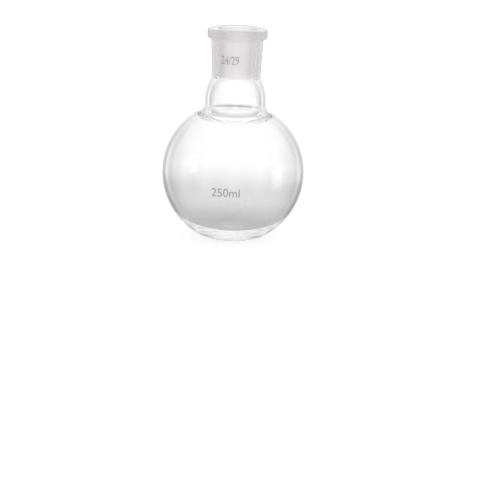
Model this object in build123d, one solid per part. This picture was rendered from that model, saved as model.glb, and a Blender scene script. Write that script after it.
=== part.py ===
"""Boiling flask of blown borosilicate glass: one neck with a 24/29 ground socket, 250 ml, standing on a small flat foot.

The whole flask is a single piece of glass, so the model is one half section turned about +Z.
The origin is the centre of the foot, on the surface that the flask stands on. All sizes are in millimetres.
"""

import os
from math import cos, dist, radians, sin, sqrt, tan

from build123d import *

# Body
BODY_DIAMETER = 87.0
BODY_WALL = 2.8
FOOT_DIAMETER = 30.8  # where the flat of the foot would meet the ball, before its edge is eased
FOOT_EASE = 20.0
FLOOR_THICKNESS = 4.7
FLOOR_EASE = 30.0  # between the level floor inside and the ball

# Shoulder, where the ball runs into the neck with a flatter slope
SHOULDER_DROP = 2.2  # from the round of the ball down to the foot of the neck
SHOULDER_SLOPE = 15.0  # degrees below level
SHOULDER_EASE = 4.0  # into the ball
SHOULDER_WALL = 3.2  # from the foot of the neck down to the opening inside
CEILING_SLOPE = 6.0  # degrees below level
CEILING_EASE = 6.0  # into the ball
OPENING_EASE = 2.0  # edge of the opening into the neck

# Neck between the ball and the ground joint
NECK_DIAMETER = 36.9
NECK_WALL = 2.25
NECK_EASE = 6.0  # where it flares into the shoulder
FLARE_SHARE = 0.8  # of the shoulder's slope, the most that the flare takes up
NECK_STRAIGHT = 6.5  # upright part of the neck, above the shoulder
NECK_HEIGHT = 22.0  # from the shoulder up to the ground joint
SEAM_EASE = 0.6  # hollow of the seam where the neck is sealed to the joint

# Ground socket 24/29: 24 mm across the wide end, 29 mm long, narrowing by 1 in 10
CONE_DIAMETER = 24.0
CONE_LENGTH = 29.0
CONE_TAPER = 0.1
JOINT_WALL = 4.15
THROAT_EASE = 2.0  # below the narrow end of the cone

# Bead round the mouth
BEAD_STEP = 2.25  # how far it stands out from the joint below it
BEAD_HEIGHT = 6.0
BEAD_EASE = 1.0
COLLAR_EASE = 0.8  # hollow corner under the bead
MOUTH_EASE = 0.8

# Radii and heights that follow from the sizes above
ball = BODY_DIAMETER / 2
cavity = ball - BODY_WALL
foot = FOOT_DIAMETER / 2
neck = NECK_DIAMETER / 2
passage = neck - NECK_WALL
ball_z = sqrt(ball**2 - foot**2)
neck_z = ball_z + sqrt(ball**2 - neck**2) - SHOULDER_DROP
dome_z = neck_z + NECK_STRAIGHT
seam_z = neck_z + NECK_HEIGHT
rim_z = seam_z + CONE_LENGTH
bead_z = rim_z - BEAD_HEIGHT
cone = CONE_DIAMETER / 2
throat = cone - CONE_TAPER / 2 * CONE_LENGTH
seam = throat + JOINT_WALL
collar = seam + CONE_TAPER / 2 * (bead_z - seam_z)
bead = collar + BEAD_STEP


def slope_end(start, degrees, radius):
    """The point where a slope down from a start, in degrees below level, runs out into a ball of a radius."""
    slope = radians(degrees)
    distance = start[0] * sin(slope) + (start[1] - ball_z) * cos(slope)
    along = sqrt(radius**2 - distance**2)
    return (distance * sin(slope) + along * cos(slope), ball_z + distance * cos(slope) - along * sin(slope))


def dome(radius, end):
    """The arc that draws the neck in, upright where it starts at a radius, to a smaller radius at the seam."""
    rise = seam_z - dome_z
    draw_in = radius - end
    bend = (rise**2 + draw_in**2) / (2 * draw_in)
    return RadiusArc((radius, dome_z), (end, seam_z), -bend)


def outside():
    """The outer edges of the half section, from the foot's centre up to the mouth, with the points to ease."""
    foot_edge = (foot, 0)
    neck_foot = (neck, neck_z)
    shoulder_edge = slope_end(neck_foot, SHOULDER_SLOPE, ball)
    flare_room = FLARE_SHARE * dist(neck_foot, shoulder_edge) / tan(radians(90 - SHOULDER_SLOPE) / 2)
    seam_point = (seam, seam_z)
    under_bead = (collar, bead_z)
    bead_low = (bead, bead_z)
    bead_high = (bead, rim_z)
    mouth = (cone, rim_z)
    edges = [
        Line((0, 0), foot_edge),
        ThreePointArc(foot_edge, (ball, ball_z), shoulder_edge),
        Line(shoulder_edge, neck_foot),
        Line(neck_foot, (neck, dome_z)),
        dome(neck, seam),
        Line(seam_point, under_bead),
        Line(under_bead, bead_low),
        Line(bead_low, bead_high),
        Line(bead_high, mouth),
    ]
    easings = {
        foot_edge: FOOT_EASE,
        shoulder_edge: SHOULDER_EASE,
        neck_foot: min(NECK_EASE, flare_room),
        seam_point: SEAM_EASE,
        under_bead: COLLAR_EASE,
        bead_low: BEAD_EASE,
        bead_high: BEAD_EASE,
        mouth: MOUTH_EASE,
    }
    return edges, easings


def inside():
    """The inner edges of the half section, from the floor's centre up to the mouth, with the points to ease."""
    floor_depth = ball_z - FLOOR_THICKNESS
    floor_edge = (sqrt(cavity**2 - floor_depth**2), FLOOR_THICKNESS)
    opening = (passage, neck_z - SHOULDER_WALL)
    ceiling_edge = slope_end(opening, CEILING_SLOPE, cavity)
    throat_point = (throat, seam_z)
    edges = [
        Line((0, FLOOR_THICKNESS), floor_edge),
        ThreePointArc(floor_edge, (cavity, ball_z), ceiling_edge),
        Line(ceiling_edge, opening),
        Line(opening, (passage, dome_z)),
        dome(passage, throat),
        Line(throat_point, (cone, rim_z)),
    ]
    easings = {
        floor_edge: FLOOR_EASE,
        ceiling_edge: CEILING_EASE,
        opening: OPENING_EASE,
        throat_point: THROAT_EASE,
    }
    return edges, easings


def half_section():
    """The glass on one side of the axis, on the XZ plane."""
    outer, outer_easings = outside()
    inner, inner_easings = inside()
    axis_line = Line((0, 0), (0, FLOOR_THICKNESS))
    face = make_face(Wire([axis_line, *outer, *inner]))
    for point, ease in (outer_easings | inner_easings).items():
        corner = face.vertices().sort_by_distance((*point, 0))[0]
        face = fillet(corner, ease)
    return Plane.XZ * face


def flask():
    """The half section turned into the whole flask."""
    return revolve(half_section(), Axis.Z)


os.makedirs("parts", exist_ok=True)
export_step(flask(), "parts/flask.step")
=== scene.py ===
"""Studio scene of a round boiling flask of clear glass, with a ground socket and printed marks.

The glass is turned from its own section, so that light bends through it cleanly. The studio is
built for glass: the camera sees plain white, while light that passes through the flask meets a
ring of white screens with grey gaps, and a floor with painted shade, darker in the middle.
"""

from __future__ import annotations

import logging
import math
from dataclasses import dataclass
from enum import Enum
from typing import Sequence

import bmesh
import bpy
from mathutils import Matrix, Vector

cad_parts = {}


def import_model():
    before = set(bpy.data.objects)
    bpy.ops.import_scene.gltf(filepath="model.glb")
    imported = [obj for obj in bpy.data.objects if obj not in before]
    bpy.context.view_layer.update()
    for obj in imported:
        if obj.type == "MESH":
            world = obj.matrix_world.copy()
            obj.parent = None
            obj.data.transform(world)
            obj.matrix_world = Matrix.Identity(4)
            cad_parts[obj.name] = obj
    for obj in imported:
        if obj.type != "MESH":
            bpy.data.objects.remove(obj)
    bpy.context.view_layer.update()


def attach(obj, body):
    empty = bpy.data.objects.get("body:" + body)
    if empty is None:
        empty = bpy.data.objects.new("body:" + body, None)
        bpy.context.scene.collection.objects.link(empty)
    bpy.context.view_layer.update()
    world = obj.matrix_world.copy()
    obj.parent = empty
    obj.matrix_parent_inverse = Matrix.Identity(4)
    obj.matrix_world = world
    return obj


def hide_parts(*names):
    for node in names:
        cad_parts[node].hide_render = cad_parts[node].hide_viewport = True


LOG = logging.getLogger("flask_scene")
MM = 0.001
MERGE_GLASS = 1e-6  # metres within which the turned section's points are one
MERGE_LETTERS = 1e-5  # the same for the letters, in the font's own units
WHITE = (1.0, 1.0, 1.0, 1.0)
BLACK = (0.0, 0.0, 0.0, 1.0)


# ---------------------------------------------------------------- shader maths


class Signal:
    """One value socket of a node tree, with the operators that shader maths needs."""

    def __init__(self, tree: bpy.types.NodeTree, socket: bpy.types.NodeSocket) -> None:
        """Keep the socket.

        Args:
            tree: The node tree that new Math nodes go into.
            socket: The output socket that carries the value.
        """
        self.tree = tree
        self.socket = socket

    def _math(self, operation: str, *operands: "Signal | float") -> "Signal":
        """Add one Math node.

        Args:
            operation: The Math node's operation.
            operands: Its inputs in order, each a signal or a plain number.

        Returns:
            The node's result.
        """
        node = self.tree.nodes.new("ShaderNodeMath")
        node.operation = operation
        for place, operand in zip(node.inputs, operands):
            if isinstance(operand, Signal):
                self.tree.links.new(operand.socket, place)
            else:
                place.default_value = operand
        return Signal(self.tree, node.outputs[0])

    def __add__(self, other: "Signal | float") -> "Signal":
        """Add."""
        return self._math("ADD", self, other)

    def __radd__(self, other: float) -> "Signal":
        """Add, with the number on the left."""
        return self._math("ADD", other, self)

    def __sub__(self, other: "Signal | float") -> "Signal":
        """Subtract."""
        return self._math("SUBTRACT", self, other)

    def __rsub__(self, other: float) -> "Signal":
        """Subtract from a number."""
        return self._math("SUBTRACT", other, self)

    def __mul__(self, other: "Signal | float") -> "Signal":
        """Multiply."""
        return self._math("MULTIPLY", self, other)

    def __rmul__(self, other: float) -> "Signal":
        """Multiply, with the number on the left."""
        return self._math("MULTIPLY", other, self)

    def __pow__(self, other: float) -> "Signal":
        """Raise to a power."""
        return self._math("POWER", self, other)

    def most(self, other: "Signal | float") -> "Signal":
        """The larger of two values."""
        return self._math("MAXIMUM", self, other)

    def turn(self, other: "Signal") -> "Signal":
        """The angle whose tangent is this value over the other."""
        return self._math("ARCTAN2", self, other)

    def wave(self) -> "Signal":
        """The cosine."""
        return self._math("COSINE", self)

    def fade(self, low: float, high: float) -> "Signal":
        """A smooth step.

        Args:
            low: The value at and below which the result is 0.
            high: The value at and above which the result is 1.

        Returns:
            The eased value, from 0 to 1.
        """
        node = self.tree.nodes.new("ShaderNodeMapRange")
        node.interpolation_type = "SMOOTHSTEP"
        self.tree.links.new(self.socket, node.inputs["Value"])
        node.inputs["From Min"].default_value = low
        node.inputs["From Max"].default_value = high
        return Signal(self.tree, node.outputs["Result"])


class Board:
    """A node tree that is being filled, emptied first."""

    def __init__(self, tree: bpy.types.NodeTree, output: str) -> None:
        """Empty the tree and put its output node in.

        Args:
            tree: The node tree.
            output: The type of its output node.
        """
        self.tree = tree
        tree.nodes.clear()
        self.output = tree.nodes.new(output)

    def add(
        self, kind: str, settings: dict | None = None, inputs: dict | None = None
    ) -> bpy.types.Node:
        """Add a node.

        Args:
            kind: The node's type.
            settings: Attributes to set first, such as an operation.
            inputs: For each input, by name or number, a plain value, a socket or a signal.

        Returns:
            The new node.
        """
        node = self.tree.nodes.new(kind)
        for name, value in (settings or {}).items():
            setattr(node, name, value)
        for name, value in (inputs or {}).items():
            if isinstance(value, Signal):
                value = value.socket
            if isinstance(value, bpy.types.NodeSocket):
                self.tree.links.new(value, node.inputs[name])
            else:
                node.inputs[name].default_value = value
        return node

    def curve(self, along: Signal, stops: Sequence[tuple[float, float]]) -> Signal:
        """Look a value up between stops.

        Args:
            along: Where to look, from 0 to 1.
            stops: Places and the values there, in order.

        Returns:
            The value.
        """
        node = self.tree.nodes.new("ShaderNodeFloatCurve")
        curve = node.mapping.curves[0]
        while len(curve.points) < len(stops):
            curve.points.new(0.5, 0.5)  # anywhere, since each is moved to its stop below
        for point, (place, value) in zip(curve.points, stops):
            point.location = (place, value)
        node.mapping.extend = "HORIZONTAL"
        node.mapping.update()
        self.tree.links.new(along.socket, node.inputs["Value"])
        return Signal(self.tree, node.outputs["Value"])

    def signal(self, socket: bpy.types.NodeSocket) -> Signal:
        """Wrap a socket for shader maths."""
        return Signal(self.tree, socket)

    def surface(self, socket: bpy.types.NodeSocket) -> None:
        """Send a shader to the output's surface."""
        self.tree.links.new(socket, self.output.inputs["Surface"])


# ---------------------------------------------------------------- finishes


@dataclass(frozen=True)
class Glass:
    """A clear or ground glass surface.

    Attributes:
        name: The material's name.
        tint: Colour that the glass lets through.
        roughness: 0 for fire polished, more for ground.
        grain: Width of the ripples in blown glass, or of the pits in ground glass, in metres.
        depth: How deep they are, in metres.
        uneven: How far the roughness differs between pits and the glass between them.
        index: Index of refraction.
        detail: How many finer layers of ripples lie on the first.
    """

    name: str
    tint: tuple[float, float, float]
    roughness: float
    grain: float
    depth: float
    uneven: float = 0.0
    index: float = 1.473
    detail: float = 2.0

    def material(self) -> bpy.types.Material:
        """Make the material.

        Returns:
            A glass that transmits everything, with its own roughness and an uneven surface.
        """
        made = bpy.data.materials.new(self.name)
        made.use_nodes = True
        board = Board(made.node_tree, "ShaderNodeOutputMaterial")
        place = board.add("ShaderNodeTexCoord")
        ripples = board.add(
            "ShaderNodeTexNoise",
            inputs={
                "Vector": place.outputs["Object"],
                "Scale": 1.0 / self.grain,
                "Detail": self.detail,
            },
        )
        height = board.signal(ripples.outputs[0])
        bump = board.add("ShaderNodeBump", inputs={"Height": height, "Distance": self.depth})
        roughness = self.roughness + (height - 0.5) * self.uneven if self.uneven else self.roughness
        shader = board.add(
            "ShaderNodeBsdfPrincipled",
            inputs={
                "Base Color": (*self.tint, 1.0),
                "Roughness": roughness,
                "IOR": self.index,
                "Transmission Weight": 1.0,
                "Normal": bump.outputs[0],
            },
        )
        board.surface(shader.outputs[0])
        return made


@dataclass(frozen=True)
class Ink:
    """A fired-on ceramic ink, thin enough that its cover varies a little.

    Attributes:
        name: The material's name.
        colour: Colour where the ink is full.
        worn: Colour where it is thin.
        grain: Size of the uneven patches, in metres.
        fade: Where on the noise the ink starts to thin, and where it is thinnest.
        roughness: How dull it is.
        detail: How many finer layers of patches lie on the first.
    """

    name: str
    colour: tuple[float, float, float]
    worn: tuple[float, float, float]
    grain: float
    fade: tuple[float, float] = (0.35, 0.7)
    roughness: float = 0.55
    detail: float = 3.0

    def material(self) -> bpy.types.Material:
        """Make the material.

        Returns:
            A dull ink that is paler in small patches.
        """
        made = bpy.data.materials.new(self.name)
        made.use_nodes = True
        board = Board(made.node_tree, "ShaderNodeOutputMaterial")
        place = board.add("ShaderNodeTexCoord")
        patches = board.add(
            "ShaderNodeTexNoise",
            inputs={
                "Vector": place.outputs["Object"],
                "Scale": 1.0 / self.grain,
                "Detail": self.detail,
            },
        )
        cover = board.signal(patches.outputs[0]).fade(*self.fade)
        colour = board.add(
            "ShaderNodeMix",
            {"data_type": "RGBA"},
            {0: cover, 6: (*self.colour, 1.0), 7: (*self.worn, 1.0)},
        )
        shader = board.add(
            "ShaderNodeBsdfPrincipled",
            inputs={"Base Color": colour.outputs[2], "Roughness": self.roughness},
        )
        board.surface(shader.outputs[0])
        return made


# ---------------------------------------------------------------- outline of the glass

ARC_STEP = math.pi / 24  # the widest turn between two points of a round track
NEWTON_STEPS = 40  # more than the search for a corner ever needs


@dataclass(frozen=True)
class Straight:
    """A straight track of the outline, through a point and along a direction."""

    point: Vector
    along: Vector

    def normal(self, at: Vector) -> Vector:
        """The unit vector square to the track."""
        return Vector((self.along.y, -self.along.x)).normalized()

    def away(self, at: Vector) -> float:
        """Signed distance of a point from the track."""
        return (at - self.point).dot(self.normal(at))

    def between(self, start: Vector, end: Vector, step: float) -> list[Vector]:
        """Points along the track.

        Args:
            start: Where the stretch starts.
            end: Where it ends.
            step: The widest spacing.

        Returns:
            The points after the start, up to and with the end.
        """
        count = max(1, math.ceil((end - start).length / step))
        return [start.lerp(end, n / count) for n in range(1, count + 1)]


@dataclass(frozen=True)
class Round:
    """A round track of the outline, about a centre."""

    centre: Vector
    radius: float

    def normal(self, at: Vector) -> Vector:
        """The unit vector away from the centre."""
        return (at - self.centre).normalized()

    def away(self, at: Vector) -> float:
        """Signed distance of a point from the track."""
        return (at - self.centre).length - self.radius

    def between(self, start: Vector, end: Vector, step: float) -> list[Vector]:
        """Points along the track, by the shorter way round.

        Args:
            start: Where the stretch starts.
            end: Where it ends.
            step: The widest spacing, where that turns by less than ARC_STEP.

        Returns:
            The points after the start, up to and with the end.
        """
        first, last = start - self.centre, end - self.centre
        sweep = math.atan2(first.x * last.y - first.y * last.x, first.dot(last))
        count = max(1, math.ceil(abs(sweep) / min(step / self.radius, ARC_STEP)))
        turns = (Matrix.Rotation(sweep * n / count, 2) for n in range(1, count + 1))
        return [self.centre + turn @ first for turn in turns]


Track = Straight | Round


@dataclass(frozen=True)
class Corner:
    """Where one track gives way to the next.

    Attributes:
        near: A point near the corner, which picks it out where two tracks cross twice.
        ease: Radius that rounds the corner, or 0 where the tracks run smoothly into each other.
    """

    near: Vector
    ease: float = 0.0


class Outline:
    """A run of tracks with eased corners, in the half plane of radius and height."""

    def __init__(
        self, tracks: Sequence[Track], corners: Sequence[Corner], start: Vector, end: Vector
    ) -> None:
        """Keep the tracks.

        Args:
            tracks: The tracks in order.
            corners: The corners between them, one fewer than the tracks.
            start: The first point, on the first track.
            end: The last point, on the last track.
        """
        self.tracks = tracks
        self.corners = corners
        self.start = start
        self.end = end

    @staticmethod
    def meet(a: Track, b: Track, near: Vector, off_a: float = 0.0, off_b: float = 0.0) -> Vector:
        """The point at given distances from two tracks.

        Args:
            a: The first track.
            b: The second track.
            near: Where the search starts.
            off_a: Signed distance from the first track.
            off_b: Signed distance from the second track.

        Returns:
            The point, found by Newton's method.
        """
        at = near.copy()
        for _ in range(NEWTON_STEPS):
            slopes = Matrix((a.normal(at), b.normal(at)))
            at = at - slopes.inverted() @ Vector((a.away(at) - off_a, b.away(at) - off_b))
        return at

    @staticmethod
    def heading(track: Track, at: Vector, towards: Vector) -> Vector:
        """The direction along a track at a point, towards another point."""
        side = track.normal(at)
        along = Vector((-side.y, side.x))
        return along if along.dot(towards - at) > 0 else -along

    def points(self, step: float) -> list[Vector]:
        """Follow the tracks.

        Args:
            step: The widest spacing of the points.

        Returns:
            The points from start to end.
        """
        sharp = [
            c.near if c.ease == 0 else self.meet(a, b, c.near)
            for a, b, c in zip(self.tracks, self.tracks[1:], self.corners)
        ]
        ends = [self.start, *sharp, self.end]
        chain = [self.start]
        for n, corner in enumerate(self.corners):
            a, b = self.tracks[n], self.tracks[n + 1]
            at = ends[n + 1]
            if corner.ease == 0:
                chain += a.between(chain[-1], at, step)
                continue
            back, on = self.heading(a, at, ends[n]), self.heading(b, at, ends[n + 2])
            off_a = math.copysign(corner.ease, a.normal(at).dot(on))
            off_b = math.copysign(corner.ease, b.normal(at).dot(back))
            centre = self.meet(a, b, at + (back + on) * corner.ease, off_a, off_b)
            rounding = Round(centre, corner.ease)
            chain += a.between(chain[-1], centre - a.normal(centre) * off_a, step)
            chain += rounding.between(chain[-1], centre - b.normal(centre) * off_b, step)
        return chain + self.tracks[-1].between(chain[-1], self.end, step)


# ---------------------------------------------------------------- the flask

LEVEL = Vector((1, 0))
UPRIGHT = Vector((0, 1))


class Zone(Enum):
    """The glass surfaces that are finished differently."""

    CLEAR = 0
    SATIN = 1
    GROUND = 2


@dataclass
class Flask:
    """The glass: a ball with a thick shoulder, a short neck, a ground socket and a bead.

    Sizes are in millimetres, slopes in degrees below level.

    Attributes:
        ball: Radius of the ball outside.
        wall: Thickness of the ball.
        foot: Radius of the flat foot, where it would meet the ball.
        foot_ease: Radius that rounds the foot into the ball.
        floor: Thickness of the floor.
        floor_ease: Radius that rounds the floor into the ball inside.
        shoulder_drop: From the round of the ball down to the foot of the neck.
        shoulder_slope: Slope of the shoulder outside.
        shoulder_ease: Radius that rounds the shoulder into the ball.
        shoulder_wall: From the foot of the neck down to the opening inside.
        ceiling_slope: Slope of the shoulder inside.
        ceiling_ease: Radius that rounds it into the ball inside.
        opening_ease: Radius of the edge where the neck opens into the ball.
        neck: Radius of the neck outside.
        neck_wall: Thickness of the neck.
        neck_ease: Radius of the flare where the neck stands on the shoulder.
        neck_straight: Upright part of the neck.
        neck_height: From the shoulder up to the seam with the joint.
        seam_ease: Radius of the hollow at the seam.
        cone: Radius of the ground socket at the mouth.
        cone_length: Length of the ground socket.
        cone_taper: How much its width grows for each millimetre of its length.
        joint_wall: Thickness of the joint at the seam.
        throat_ease: Radius below the narrow end of the socket.
        bead_step: How far the bead stands out from the joint.
        bead_height: Height of the bead.
        bead_ease: Radius of the bead's outer edges.
        collar_ease: Radius of the hollow under the bead.
        mouth_ease: Radius of the mouth's edge.
        spacing: The widest spacing of points along the section.
        turns: How many steps the section is turned in.
        clear: Finish of the blown glass.
        satin: Finish of the bead's side.
        ground: Finish of the ground socket.
    """

    ball: float = 43.5
    wall: float = 2.8
    foot: float = 15.4
    foot_ease: float = 20.0
    floor: float = 4.7
    floor_ease: float = 30.0
    shoulder_drop: float = 2.2
    shoulder_slope: float = 15.0
    shoulder_ease: float = 4.0
    shoulder_wall: float = 3.2
    ceiling_slope: float = 6.0
    ceiling_ease: float = 6.0
    opening_ease: float = 2.0
    neck: float = 18.45
    neck_wall: float = 2.25
    neck_ease: float = 6.0
    neck_straight: float = 6.5
    neck_height: float = 22.0
    seam_ease: float = 0.6
    cone: float = 12.0
    cone_length: float = 29.0
    cone_taper: float = 0.1
    joint_wall: float = 4.15
    throat_ease: float = 2.0
    bead_step: float = 2.25
    bead_height: float = 6.0
    bead_ease: float = 1.0
    collar_ease: float = 0.8
    mouth_ease: float = 0.8
    spacing: float = 1.5
    turns: int = 192
    clear: Glass = Glass(
        "clear_glass", (0.994, 0.992, 0.995), roughness=0.0, grain=0.03, depth=0.00003
    )
    satin: Glass = Glass(
        "satin_glass",
        (0.965, 0.945, 0.955),
        roughness=0.36,
        grain=0.0012,
        depth=0.00001,
        uneven=0.2,
    )
    ground: Glass = Glass(
        "ground_glass",
        (0.91, 0.865, 0.885),
        roughness=0.42,
        grain=0.0008,
        depth=0.00001,
        uneven=0.2,
    )

    def __post_init__(self) -> None:
        """Work out the heights and radii that follow from the sizes."""
        self.ball_z = math.sqrt(self.ball**2 - self.foot**2)
        self.neck_z = self.ball_z + math.sqrt(self.ball**2 - self.neck**2) - self.shoulder_drop
        self.dome_z = self.neck_z + self.neck_straight
        self.seam_z = self.neck_z + self.neck_height
        self.rim_z = self.seam_z + self.cone_length
        self.bead_z = self.rim_z - self.bead_height
        self.throat = self.cone - self.cone_taper / 2 * self.cone_length
        self.seam = self.throat + self.joint_wall
        self.collar = self.seam + self.cone_taper / 2 * (self.bead_z - self.seam_z)
        self.bead = self.collar + self.bead_step

    def _dome(self, radius: float, end: float) -> Round:
        """The track that draws the neck in to the socket.

        Args:
            radius: The neck's radius, where the track leaves it upright.
            end: The radius that it has come in to at the seam.

        Returns:
            The track.
        """
        rise, draw = self.seam_z - self.dome_z, radius - end
        bend = (rise**2 + draw**2) / (2 * draw)
        return Round(Vector((radius - bend, self.dome_z)), bend)

    @staticmethod
    def _slope(degrees: float) -> Vector:
        """The direction outwards and down, at an angle below level."""
        return Vector((math.cos(math.radians(degrees)), -math.sin(math.radians(degrees))))

    def _taper(self) -> Vector:
        """The direction up the side of the ground cone."""
        return Vector((self.cone_taper / 2, 1))

    def _outside(self) -> list[tuple[Track, Corner]]:
        """Lay out the outer surface.

        Returns:
            The tracks from the foot's centre up to the rim, each with the corner that ends it.
        """
        centre = Vector((0, self.ball_z))
        neck_foot = Vector((self.neck, self.neck_z))
        neck_top = Vector((self.neck, self.dome_z))
        seam = Vector((self.seam, self.seam_z))
        collar = Vector((self.collar, self.bead_z))
        bead_low = Vector((self.bead, self.bead_z))
        bead_high = Vector((self.bead, self.rim_z))
        mouth = Vector((self.cone, self.rim_z))
        out_on_ball = neck_foot + LEVEL * self.neck / 2
        slope = self._slope(self.shoulder_slope)
        return [
            (Straight(Vector((0, 0)), LEVEL), Corner(Vector((self.foot, 0)), self.foot_ease)),
            (Round(centre, self.ball), Corner(out_on_ball, self.shoulder_ease)),
            (Straight(neck_foot, slope), Corner(neck_foot, self.neck_ease)),
            (Straight(neck_foot, UPRIGHT), Corner(neck_top)),
            (self._dome(self.neck, self.seam), Corner(seam, self.seam_ease)),
            (Straight(seam, self._taper()), Corner(collar, self.collar_ease)),
            (Straight(collar, LEVEL), Corner(bead_low, self.bead_ease)),
            (Straight(bead_low, UPRIGHT), Corner(bead_high, self.bead_ease)),
            (Straight(bead_high, LEVEL), Corner(mouth, self.mouth_ease)),
        ]

    def _inside(self) -> list[tuple[Track, Corner]]:
        """Lay out the inner surface.

        Returns:
            The tracks from the mouth down to the floor, each with the corner that ends it.
        """
        passage, cavity = self.neck - self.neck_wall, self.ball - self.wall
        centre = Vector((0, self.ball_z))
        mouth = Vector((self.cone, self.rim_z))
        throat = Vector((self.throat, self.seam_z))
        neck_top = Vector((passage, self.dome_z))
        opening = Vector((passage, self.neck_z - self.shoulder_wall))
        out_on_ball = opening + LEVEL * passage / 2
        out_on_floor = Vector((cavity / 2, self.floor))
        slope = self._slope(self.ceiling_slope)
        return [
            (Straight(mouth, self._taper()), Corner(throat, self.throat_ease)),
            (self._dome(passage, self.throat), Corner(neck_top)),
            (Straight(opening, UPRIGHT), Corner(opening, self.opening_ease)),
            (Straight(opening, slope), Corner(out_on_ball, self.ceiling_ease)),
            (Round(centre, cavity), Corner(out_on_floor, self.floor_ease)),
        ]

    def outline(self) -> Outline:
        """The section, from the foot's centre round the outside to the floor's centre inside.

        Returns:
            The outline.
        """
        runs = self._outside() + self._inside()
        foot, floor = Vector((0, 0)), Vector((0, self.floor))
        tracks = [track for track, _ in runs] + [Straight(floor, LEVEL)]
        corners = [corner for _, corner in runs]
        return Outline(tracks, corners, foot, floor)

    def _zone(self, reach: float, height: float) -> Zone:
        """Which finish a place on the glass has.

        Args:
            reach: Its distance from the axis, in millimetres.
            height: Its height above the foot.

        Returns:
            Ground inside the socket, satin on the bead's side, and clear everywhere else.
        """
        if reach < self.cone and self.seam_z < height < self.rim_z:
            return Zone.GROUND
        satin_z = (self.bead_z - self.bead_ease, self.rim_z - self.bead_ease / 2)
        if reach > self.collar and satin_z[0] < height < satin_z[1]:
            return Zone.SATIN
        return Zone.CLEAR

    def build(self) -> bpy.types.Object:
        """Turn the section into the glass and finish it.

        Returns:
            The flask's object, closed at both poles, with a slot for each zone.
        """
        shape = bmesh.new()
        section = self.outline().points(self.spacing)
        chain = [shape.verts.new((p.x * MM, 0.0, p.y * MM)) for p in section]
        edges = [shape.edges.new(pair) for pair in zip(chain, chain[1:])]
        bmesh.ops.spin(
            shape,
            geom=chain + edges,
            cent=(0, 0, 0),
            axis=(0, 0, 1),
            angle=math.tau,
            steps=self.turns,
            use_merge=True,
        )
        bmesh.ops.remove_doubles(shape, verts=shape.verts, dist=MERGE_GLASS)
        bmesh.ops.recalc_face_normals(shape, faces=shape.faces)
        for face in shape.faces:
            face.smooth = True
            middle = face.calc_center_median() / MM
            face.material_index = self._zone(math.hypot(middle.x, middle.y), middle.z).value
        mesh = bpy.data.meshes.new("flask_glass")
        shape.to_mesh(mesh)
        shape.free()
        made = bpy.data.objects.new("flask_glass", mesh)
        bpy.context.scene.collection.objects.link(made)
        for finish in (self.clear, self.satin, self.ground):
            mesh.materials.append(finish.material())
        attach(made, "root")
        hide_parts("flask")
        return made


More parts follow.
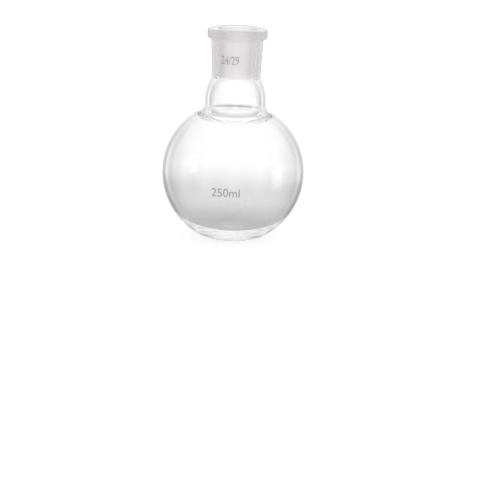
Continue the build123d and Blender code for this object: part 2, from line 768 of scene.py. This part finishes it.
@dataclass
class Mark:
    """A printed mark that follows the round glass it lies on.

    Attributes:
        name: The piece's name.
        text: What it says.
        height: Height of its figures, in millimetres.
        width: Width of the whole mark.
        across: How far its middle is to the right of the axis, along the surface.
        up: Height of its middle above the foot.
        radius: Radius of the surface at that height.
        lean: How much the radius grows for each millimetre of height.
        dome: Radius of the surface in the upright direction, or 0 where it is straight.
        dome_z: Height of the middle of that radius above the foot.
        thickness: Thickness of the ink.
        lift: How far its underside is off the glass.
        cuts: How many upright cuts let it bend round the glass.
        smoothness: How finely the figures' curves are cut.
        ink: Its finish.
    """

    name: str
    text: str
    height: float
    width: float
    across: float
    up: float
    radius: float
    lean: float = 0.0
    dome: float = 0.0
    dome_z: float = 0.0
    thickness: float = 0.04
    lift: float = 0.005
    cuts: int = 23
    smoothness: int = 6
    ink: Ink = Ink("grey_ink", (0.58, 0.555, 0.565), (0.75, 0.725, 0.735), grain=0.0022)

    def _place(self, at: Vector) -> Vector:
        """Carry a point of the flat mark on to the glass.

        Args:
            at: The point, in millimetres from the mark's middle, with z off the glass.

        Returns:
            Its place on the flask, in metres.
        """
        if self.dome:
            tilt = math.asin((self.up - self.dome_z) / self.dome) + at.y / self.dome
            out = self.dome + at.z
            reach, height = out * math.cos(tilt), self.dome_z + out * math.sin(tilt)
        else:
            reach, height = self.radius + self.lean * at.y + at.z, self.up + at.y
        turn = (self.across + at.x) / self.radius
        return Vector((reach * math.sin(turn), -reach * math.cos(turn), height)) * MM

    def _words(self) -> bpy.types.Mesh:
        """Set the words flat, in the built-in font.

        Returns:
            Their faces, at the font's own size.
        """
        words = bpy.data.curves.new(self.name, "FONT")
        words.body = self.text
        words.align_x = words.align_y = "CENTER"
        words.resolution_u = self.smoothness
        setter = bpy.data.objects.new(self.name, words)
        bpy.context.scene.collection.objects.link(setter)
        bpy.context.view_layer.update()
        drawn = setter.evaluated_get(bpy.context.evaluated_depsgraph_get())
        mesh = bpy.data.meshes.new_from_object(drawn)
        bpy.data.objects.remove(setter)
        return mesh

    def build(self) -> bpy.types.Object:
        """Set the words, lay them on the glass and ink them.

        Returns:
            The mark's object.
        """
        mesh = self._words()
        shape = bmesh.new()
        shape.from_mesh(mesh)
        bmesh.ops.remove_doubles(shape, verts=shape.verts, dist=MERGE_LETTERS)
        low = Vector((min(v.co.x for v in shape.verts), min(v.co.y for v in shape.verts), 0))
        high = Vector((max(v.co.x for v in shape.verts), max(v.co.y for v in shape.verts), 0))
        middle = (low + high) / 2
        wide, tall = high.x - low.x, high.y - low.y
        stretch = (self.width / wide, self.height / tall)
        for cut in range(1, self.cuts + 1):
            bmesh.ops.bisect_plane(
                shape,
                geom=[*shape.verts, *shape.edges, *shape.faces],
                plane_co=(low.x + wide * cut / (self.cuts + 1), 0, 0),
                plane_no=(1, 0, 0),
            )
        raised = bmesh.ops.extrude_face_region(shape, geom=list(shape.faces))
        top = {v for v in raised["geom"] if isinstance(v, bmesh.types.BMVert)}
        for vert in shape.verts:
            x, y = (vert.co.x - middle.x) * stretch[0], (vert.co.y - middle.y) * stretch[1]
            vert.co = self._place(Vector((x, y, self.thickness if vert in top else self.lift)))
        bmesh.ops.recalc_face_normals(shape, faces=shape.faces)
        shape.to_mesh(mesh)
        shape.free()
        mesh.materials.clear()
        mesh.materials.append(self.ink.material())
        made = bpy.data.objects.new(self.name, mesh)
        bpy.context.scene.collection.objects.link(made)
        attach(made, "root")
        return made


# ---------------------------------------------------------------- the studio


@dataclass(frozen=True)
class Lamp:
    """A soft box.

    Attributes:
        name: Its name.
        watts: Its power.
        size: Its width and height, in metres.
        azimuth: Where it stands, in degrees round from the camera's side, to the right.
        elevation: How high it stands, in degrees.
        distance: How far it is from the middle of the ball, in metres.
    """

    name: str
    watts: float
    size: tuple[float, float]
    azimuth: float
    elevation: float
    distance: float

    def build(self, aim: Vector) -> bpy.types.Object:
        """Hang the lamp.

        Args:
            aim: The point that it faces.

        Returns:
            The lamp's object.
        """
        light = bpy.data.lights.new(self.name, "AREA")
        light.shape, light.energy = "RECTANGLE", self.watts
        light.size, light.size_y = self.size
        turn, rise = math.radians(self.azimuth), math.radians(self.elevation)
        level = math.cos(rise)
        back = Vector((math.sin(turn) * level, -math.cos(turn) * level, math.sin(rise)))
        made = bpy.data.objects.new(self.name, light)
        made.rotation_mode = "QUATERNION"
        made.rotation_quaternion = (-back).to_track_quat("-Z", "Y")
        made.location = aim + back * self.distance
        bpy.context.scene.collection.objects.link(made)
        return made


@dataclass
class Studio:
    """The floor, the sky, the lamps and the camera.

    Attributes:
        aim: The middle of the ball, in metres.
        floor_reach: Half the floor's width.
        floor_gap: How far the floor is below the foot, so that the two never share a plane.
        paper: Colour of the floor.
        paper_glow: Light that the camera sees the floor give off by itself.
        lamps: The soft boxes.
        painted_floor_shade: Painted shade on the floor that only the glass sees: how bright the
            floor is, by metres from the middle of the foot, darkest round the foot.
        brightest: Brightness of the brightest screen round the glass.
        heights: Share of that brightness, from straight down at -1 to straight up at 1.
        screens: How many white screens stand round the glass.
        gaps: How far it darkens between two screens, by the same heights.
        room: Light that the rest of the room gives to matt surfaces.
        bounces: How many times light may turn inside the glass.
        distance: How far the camera is from the ball.
        dip: How far the camera looks down, in degrees.
        roll: How far it leans, in degrees.
        across: How far the ball is to the right of the picture's middle, in metres.
        up: How far the ball is above the picture's middle, in metres.
        lens: Focal length, in millimetres.
    """

    aim: Vector
    floor_reach: float = 6.0
    floor_gap: float = 0.0001
    paper: tuple[float, float, float] = (0.86, 0.86, 0.87)
    paper_glow: float = 0.6
    lamps: tuple[Lamp, ...] = (
        Lamp("key_light", 0.7, (0.36, 0.5), azimuth=76.0, elevation=-6.0, distance=1.1),
        Lamp("top_light", 0.8, (1.2, 1.2), azimuth=0.0, elevation=80.0, distance=1.2),
    )
    # Painted shade on the floor for the glass: darkest just round the foot, clear from 0.25 m out.
    painted_floor_shade: tuple[tuple[float, float], ...] = (
        (0.0, 0.52),
        (0.02, 0.39),
        (0.035, 0.46),
        (0.05, 0.53),
        (0.065, 0.6),
        (0.09, 0.67),
        (0.12, 0.69),
        (0.15, 0.74),
        (0.19, 0.87),
        (0.25, 1.0),
    )
    brightest: float = 1.15
    heights: tuple[tuple[float, float], ...] = (
        (-1.0, 0.93),
        (-0.1, 0.93),
        (0.0, 0.93),
        (0.1, 0.84),
        (0.3, 0.76),
        (0.45, 0.85),
        (0.62, 0.92),
        (0.8, 0.96),
        (1.0, 0.93),
    )
    screens: float = 8.0
    gaps: tuple[tuple[float, float], ...] = (
        (-1.0, 0.0),
        (-0.55, 0.0),
        (-0.38, 0.5),
        (-0.1, 0.52),
        (0.0, 0.45),
        (0.15, 0.25),
        (0.35, 0.0),
        (1.0, 0.0),
    )
    room: float = 0.55
    bounces: int = 96
    distance: float = 1.23
    dip: float = 13.5
    roll: float = 2.04
    across: float = -0.01043
    up: float = 0.04823
    lens: float = 144.14

    def _seen(self, board: Board) -> tuple[Signal, Signal]:
        """Tell the camera's own rays from those that glass has turned.

        Args:
            board: The node tree.

        Returns:
            One signal that is 1 for the first, and one that is 1 for the second.
        """
        path = board.add("ShaderNodeLightPath")
        camera, glossy, through = (
            board.signal(path.outputs[name])
            for name in ("Is Camera Ray", "Is Glossy Ray", "Is Transmission Ray")
        )
        return camera, glossy.most(through)

    @staticmethod
    def _parts(board: Board, coordinate: str) -> list[Signal]:
        """The three parts of one of the texture coordinates.

        Args:
            board: The node tree.
            coordinate: The coordinate's name.

        Returns:
            Its x, y and z.
        """
        place = board.add("ShaderNodeTexCoord").outputs[coordinate]
        split = board.add("ShaderNodeSeparateXYZ", inputs={0: place})
        return [board.signal(part) for part in split.outputs]

    @staticmethod
    def _mix(
        board: Board, share: Signal, none: bpy.types.Node, full: bpy.types.Node
    ) -> bpy.types.Node:
        """Mix two shaders.

        Args:
            board: The node tree.
            share: How much of the second.
            none: The shader where the share is 0.
            full: The shader where the share is 1.

        Returns:
            The mix.
        """
        inputs = {0: share, 1: none.outputs[0], 2: full.outputs[0]}
        return board.add("ShaderNodeMixShader", inputs=inputs)

    def _paper(self) -> bpy.types.Material:
        """Make the floor's paper: white with its real shadow to the camera, and with painted shade
        round the foot for the glass.

        Returns:
            The material.
        """
        paper = bpy.data.materials.new("floor_paper")
        paper.use_nodes = True
        board = Board(paper.node_tree, "ShaderNodeOutputMaterial")
        camera, glass = self._seen(board)
        x, y, _ = self._parts(board, "Object")
        # Painted shade: the glass sees the floor darker near the foot, mixed towards black by this
        # level.
        painted_shade_level = board.curve((x * x + y * y) ** 0.5, self.painted_floor_shade)
        matt = board.add("ShaderNodeBsdfDiffuse", inputs={"Color": (*self.paper, 1.0)})
        lit = board.add("ShaderNodeEmission", inputs={"Strength": camera * self.paper_glow})
        both = board.add("ShaderNodeAddShader", inputs={0: matt.outputs[0], 1: lit.outputs[0]})
        clear = board.add("ShaderNodeBsdfTransparent")
        painted_shade_black = board.add("ShaderNodeBsdfDiffuse", inputs={"Color": BLACK})
        painted_shade = self._mix(board, painted_shade_level, painted_shade_black, clear)
        board.surface(self._mix(board, glass, both, painted_shade).outputs[0])
        return paper

    def floor(self) -> bpy.types.Object:
        """Lay the floor.

        Returns:
            The floor's object.
        """
        shape = bmesh.new()
        bmesh.ops.create_grid(shape, x_segments=1, y_segments=1, size=self.floor_reach)
        mesh = bpy.data.meshes.new("floor")
        shape.to_mesh(mesh)
        shape.free()
        made = bpy.data.objects.new("floor", mesh)
        made.location.z = -self.floor_gap
        bpy.context.scene.collection.objects.link(made)
        mesh.materials.append(self._paper())
        return made

    def sky(self) -> bpy.types.World:
        """Hang the backdrop: white to the camera, and for the glass a ring of screens with gaps.

        Returns:
            The world.
        """
        world = bpy.data.worlds.new("studio")
        world.use_nodes = True
        board = Board(world.node_tree, "ShaderNodeOutputWorld")
        camera, glass = self._seen(board)
        x, y, z = self._parts(board, "Generated")
        # A curve runs from 0 to 1, so both it and its stops are moved from -1 to 1 on to that.
        height, depth = (
            board.curve(z * 0.5 + 0.5, [(at * 0.5 + 0.5, value) for at, value in stops])
            for stops in (self.heights, self.gaps)
        )
        between = 0.5 - (x.turn(y) * self.screens).wave() * 0.5
        screens = (1.0 - between * depth) * height * self.brightest
        white = camera.most(glass * screens)
        base = (1.0 - camera.most(glass)) * self.room
        shader = board.add(
            "ShaderNodeBackground", inputs={"Color": WHITE, "Strength": white + base}
        )
        board.surface(shader.outputs[0])
        bpy.context.scene.world = world
        return world

    def camera(self) -> bpy.types.Object:
        """Set up the camera, with the ball away from the picture's middle.

        Returns:
            The camera's object.
        """
        dip, roll = math.radians(self.dip), math.radians(self.roll)
        right, above = Vector((1, 0, 0)), Vector((0, math.sin(dip), math.cos(dip)))
        back = Vector((0, -math.cos(dip), math.sin(dip)))
        leant_right = right * math.cos(roll) + above * math.sin(roll)
        leant_up = above * math.cos(roll) - right * math.sin(roll)
        data = bpy.data.cameras.new("camera")
        data.lens = self.lens
        made = bpy.data.objects.new("camera", data)
        turned = Matrix((leant_right, leant_up, back)).transposed().to_4x4()
        place = self.aim - leant_right * self.across - leant_up * self.up + back * self.distance
        made.matrix_world = Matrix.Translation(place) @ turned
        bpy.context.scene.collection.objects.link(made)
        bpy.context.scene.camera = made
        return made

    def build(self) -> None:
        """Set up the whole studio."""
        self.floor()
        self.sky()
        for lamp in self.lamps:
            lamp.build(self.aim)
        self.camera()
        cycles = bpy.context.scene.cycles
        cycles.max_bounces = cycles.transmission_bounces = cycles.glossy_bounces = self.bounces


def capacity_mark(flask: Flask) -> Mark:
    """The capacity, printed a little below the middle of the ball.

    Args:
        flask: The flask that it lies on.

    Returns:
        The mark.
    """
    return Mark(
        "capacity_mark",
        "250ml",
        height=5.2,
        width=17.1,
        across=-3.7,
        up=flask.ball_z - 4.6,
        radius=flask.ball,
        dome=flask.ball,
        dome_z=flask.ball_z,
    )


def joint_mark(flask: Flask) -> Mark:
    """The joint's size, printed half way from the seam to the bead.

    Args:
        flask: The flask that it lies on.

    Returns:
        The mark.
    """
    up = 111.2
    lean = flask.cone_taper / 2
    return Mark(
        "joint_size_mark",
        "24/29",
        height=5.2,
        width=11.2,
        across=-4.0,
        up=up,
        radius=flask.seam + lean * (up - flask.seam_z),
        lean=lean,
    )


def main() -> None:
    """Build the flask, its marks and the studio, and log each piece's face count."""
    logging.basicConfig(level=logging.INFO, format="%(name)s: %(message)s")
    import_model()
    flask = Flask()
    for part in (flask, capacity_mark(flask), joint_mark(flask)):
        piece = part.build()
        LOG.info("%s: %d faces", piece.name, len(piece.data.polygons))
    bpy.context.scene.view_settings.view_transform = "Standard"
    Studio(aim=Vector((0, 0, flask.ball_z * MM))).build()
    LOG.info("studio set up")


if __name__ == "__main__":
    main()
